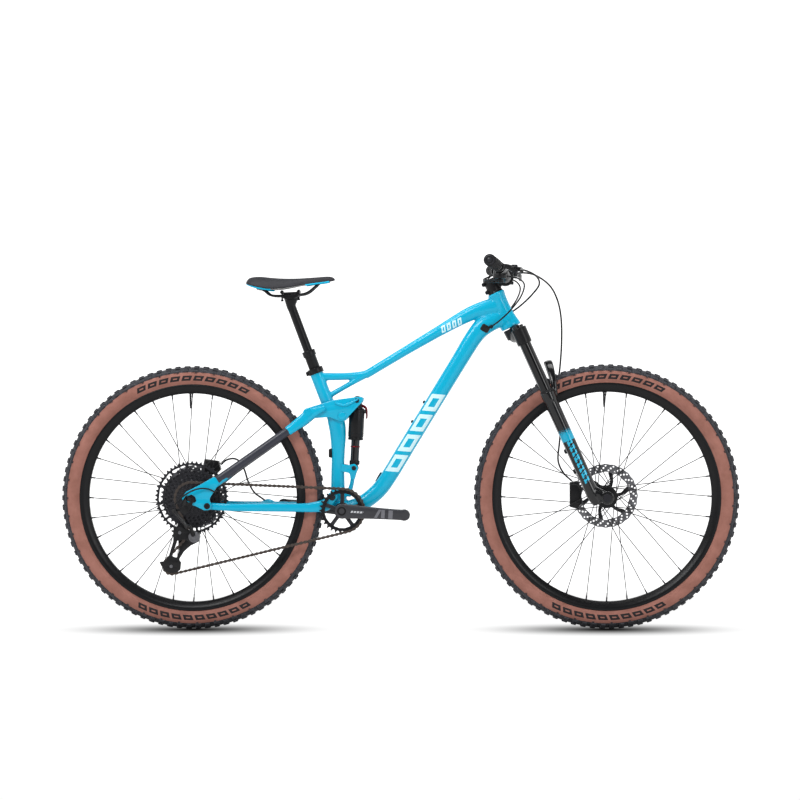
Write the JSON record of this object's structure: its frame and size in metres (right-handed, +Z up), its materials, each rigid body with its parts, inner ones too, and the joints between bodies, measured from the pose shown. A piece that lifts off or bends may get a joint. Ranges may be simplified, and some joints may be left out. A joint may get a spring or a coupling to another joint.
{
  "type": "mountain bike",
  "caption": "Full-suspension mountain bike with a cyan four-bar frame, tan-wall knobbly tyres, hydraulic disc brakes, single chainring drive and dropper seat post; no pedals fitted.",
  "frame": {"origin": "on the ground, midway between the two tyres' outer ends and midway between the handlebar's ends", "axes": "+X forward, +Y to the rider's left, +Z up; the drive side is at -Y"},
  "size_m": [1.898, 0.7486, 1.0326],
  "materials": {
    "frame_paint": "gloss paint with a few anthracite and plain pale panels",
    "bearing_black": "black anodised cups",
    "black_anodised": "satin black anodised",
    "bolt_steel": "blackened steel",
    "fork_black": "gloss black paint",
    "stanchion_black": "polished black anodised",
    "grip_rubber": "ribbed soft rubber",
    "control_plastic": "black composite and alloy",
    "blade_alloy": "satin black",
    "caliper_black": "black cast alloy",
    "tyre_rubber": "black knobbly tread, tan side walls",
    "rim_black": "satin black",
    "spoke_steel": "black stainless wire",
    "rotor_steel": "ground steel",
    "mech_black": "black composite and alloy",
    "shock_shaft_steel": "polished shaft",
    "shock_black": "satin black can, dark red lever",
    "cassette_steel": "black-finished steel sprockets",
    "crank_grey": "dark grey, pale plain blocks",
    "ring_black": "black steel",
    "chain_steel": "dark oiled steel",
    "saddle_cover": "smooth synthetic cover, cyan edge",
    "rail_steel": "black steel",
    "hose_black": "black nylon hose"
  },
  "bodies": {
    "frame": {"head_tube": "frame_paint", "top_tube": "frame_paint", "down_tube": "frame_paint", "seat_tube": "frame_paint", "bb_shell": "frame_paint", "shock_bracket": "frame_paint", "headset_bearings": "bearing_black", "bb_bearings": "bearing_black", "seat_clamp": "black_anodised", "dropper_outer": "black_anodised", "frame_bolts": "bolt_steel"},
    "steering": {"fork_crown": "fork_black", "fork_stanchions": "stanchion_black", "stem": "black_anodised", "headset_cap": "black_anodised", "handlebar": "black_anodised", "grips": "grip_rubber", "brake_masters": "control_plastic", "shifter_body": "control_plastic", "dropper_remote": "control_plastic", "control_cables": "hose_black", "front_brake_hose": "hose_black"},
    "brake_left": {"brake_blade_left": "blade_alloy"},
    "brake_right": {"brake_blade_right": "blade_alloy"},
    "paddle_main": {"shift_paddle_main": "control_plastic"},
    "paddle_release": {"shift_paddle_release": "control_plastic"},
    "dropper_trigger": {"dropper_lever": "control_plastic"},
    "fork_lower": {"fork_lowers": "fork_black", "front_axle": "bolt_steel", "front_caliper": "caliper_black"},
    "front_wheel": {"front_tyre": "tyre_rubber", "front_rim": "rim_black", "front_spokes": "spoke_steel", "front_hub": "black_anodised", "front_rotor": "rotor_steel"},
    "chainstay": {"chainstays": "frame_paint", "chain": "chain_steel"},
    "seatstay": {"seatstays": "frame_paint", "rear_axle": "bolt_steel", "rear_caliper": "caliper_black", "mech_mount": "mech_black"},
    "rocker": {"rocker_link": "frame_paint"},
    "damper_shaft": {"shock_shaft": "shock_shaft_steel"},
    "damper_can": {"shock_can": "shock_black"},
    "rear_wheel": {"rear_tyre": "tyre_rubber", "rear_rim": "rim_black", "rear_spokes": "spoke_steel", "rear_hub": "black_anodised", "rear_rotor": "rotor_steel"},
    "freehub": {"cassette": "cassette_steel"},
    "crankset": {"crank_arm_right": "crank_grey", "crank_arm_left": "crank_grey", "crank_spindle": "crank_grey", "chainring": "ring_black"},
    "mech_arm": {"mech_link": "mech_black"},
    "mech_body": {"mech_knuckle": "mech_black"},
    "mech_swing": {"mech_cage": "mech_black"},
    "jockey_top": {"jockey_upper": "mech_black"},
    "jockey_bottom": {"jockey_lower": "mech_black"},
    "saddle_post": {"saddle": "saddle_cover", "saddle_rails": "rail_steel", "dropper_inner": "black_anodised"}
  },
  "joints": [
    {"name": "steer", "type": "hinge", "parent": "frame", "child": "steering", "pos_m": [0.273, 0, 0.94], "axis": [-0.4067, 0, 0.9135], "range_deg": [-65, 65], "deforming": ["control_cables", "front_brake_hose"]},
    {"name": "brake_left_pull", "type": "hinge", "parent": "steering", "child": "brake_left", "pos_m": [0.33, 0.214, 0.998], "axis": [0, 0, 1], "range_deg": [0, 14], "stiffness_Nm_per_rad": 1, "springref_deg": -17.19},
    {"name": "brake_right_pull", "type": "hinge", "parent": "steering", "child": "brake_right", "pos_m": [0.33, -0.214, 0.998], "axis": [0, 0, -1], "range_deg": [0, 14], "stiffness_Nm_per_rad": 1, "springref_deg": -17.19},
    {"name": "shift_main", "type": "hinge", "parent": "steering", "child": "paddle_main", "pos_m": [0.285, -0.172, 0.968], "axis": [0, 0, 1], "range_deg": [0, 30], "stiffness_Nm_per_rad": 0.2, "springref_deg": -17.19},
    {"name": "shift_release", "type": "hinge", "parent": "steering", "child": "paddle_release", "pos_m": [0.285, -0.172, 0.964], "axis": [0, 0, -1], "range_deg": [0, 12], "stiffness_Nm_per_rad": 0.2, "springref_deg": -17.19},
    {"name": "dropper_pull", "type": "hinge", "parent": "steering", "child": "dropper_trigger", "pos_m": [0.288, 0.168, 0.98], "axis": [0, 1, 0], "range_deg": [0, 12], "stiffness_Nm_per_rad": 0.6, "springref_deg": -17.19},
    {"name": "fork_travel", "type": "slide", "parent": "steering", "child": "fork_lower", "axis": [-0.4067, 0, 0.9135], "range_m": [0, 0.12], "stiffness_N_per_m": 5000, "springref_m": -0.02},
    {"name": "front_wheel_spin", "type": "hinge", "parent": "fork_lower", "child": "front_wheel", "pos_m": [0.579, 0, 0.37], "axis": [0, 1, 0], "continuous": true},
    {"name": "rear_travel", "type": "hinge", "parent": "frame", "child": "chainstay", "pos_m": [-0.184, 0, 0.372], "axis": [0, 1, 0], "range_deg": [0, 17.5], "stiffness_Nm_per_rad": 900, "springref_deg": -5.73, "deforming": ["chain"]},
    {"name": "stay_pivot", "type": "hinge", "parent": "chainstay", "child": "seatstay", "pos_m": [-0.53, 0, 0.35], "axis": [0, 1, 0], "range_deg": [-10.55, 0]},
    {"name": "rocker_turn", "type": "hinge", "parent": "frame", "child": "rocker", "pos_m": [-0.157, 0, 0.598], "axis": [0, 1, 0], "range_deg": [0, 50.01]},
    {"name": "damper_tilt", "type": "hinge", "parent": "frame", "child": "damper_shaft", "pos_m": [-0.125, 0, 0.452], "axis": [0, 1, 0], "range_deg": [0, 8.33]},
    {"name": "damper_stroke", "type": "slide", "parent": "damper_shaft", "child": "damper_can", "axis": [-0.0528, 0, -0.9986], "range_m": [0, 0.04517]},
    {"name": "rear_wheel_spin", "type": "hinge", "parent": "seatstay", "child": "rear_wheel", "pos_m": [-0.579, 0, 0.37], "axis": [0, 1, 0], "continuous": true},
    {"name": "crank_spin", "type": "hinge", "parent": "frame", "child": "crankset", "pos_m": [-0.156, 0, 0.335], "axis": [0, 1, 0], "continuous": true},
    {"name": "cassette_spin", "type": "hinge", "parent": "seatstay", "child": "freehub", "pos_m": [-0.579, 0, 0.37], "axis": [0, 1, 0], "continuous": true},
    {"name": "mech_shift", "type": "hinge", "parent": "seatstay", "child": "mech_arm", "pos_m": [-0.62, -0.094, 0.338], "axis": [0.6245, 0.7407, 0.2476], "range_deg": [-28, 20]},
    {"name": "mech_parallel", "type": "hinge", "parent": "mech_arm", "child": "mech_body", "pos_m": [-0.582, -0.112, 0.296], "axis": [0.6245, 0.7407, 0.2476], "range_deg": [-20.2, 28.2]},
    {"name": "cage_swing", "type": "hinge", "parent": "mech_body", "child": "mech_swing", "pos_m": [-0.566, 0, 0.2645], "axis": [0, 1, 0], "range_deg": [-30, 4], "stiffness_Nm_per_rad": 1.2},
    {"name": "jockey_top_spin", "type": "hinge", "parent": "mech_swing", "child": "jockey_top", "pos_m": [-0.6095, 0, 0.275], "axis": [0, 1, 0], "continuous": true},
    {"name": "jockey_bottom_spin", "type": "hinge", "parent": "mech_swing", "child": "jockey_bottom", "pos_m": [-0.634, 0, 0.181], "axis": [0, 1, 0], "continuous": true},
    {"name": "saddle_height", "type": "slide", "parent": "frame", "child": "saddle_post", "axis": [0.3478, 0, -0.9376], "range_m": [0, 0.13]}
  ],
  "couplings": [
    {"joint": "stay_pivot", "follows": "rear_travel", "ratio": -0.5913},
    {"joint": "rocker_turn", "follows": "rear_travel", "ratio": 2.8463},
    {"joint": "damper_tilt", "follows": "rear_travel", "ratio": 0.4647},
    {"joint": "damper_stroke", "follows": "rear_travel", "m_per_rad": 0.1469},
    {"joint": "cassette_spin", "follows": "crank_spin", "ratio": 1.3636},
    {"joint": "jockey_top_spin", "follows": "crank_spin", "ratio": -2.7273},
    {"joint": "jockey_bottom_spin", "follows": "crank_spin", "ratio": 2.7273},
    {"joint": "mech_parallel", "follows": "mech_shift", "ratio": -1}
  ]
}
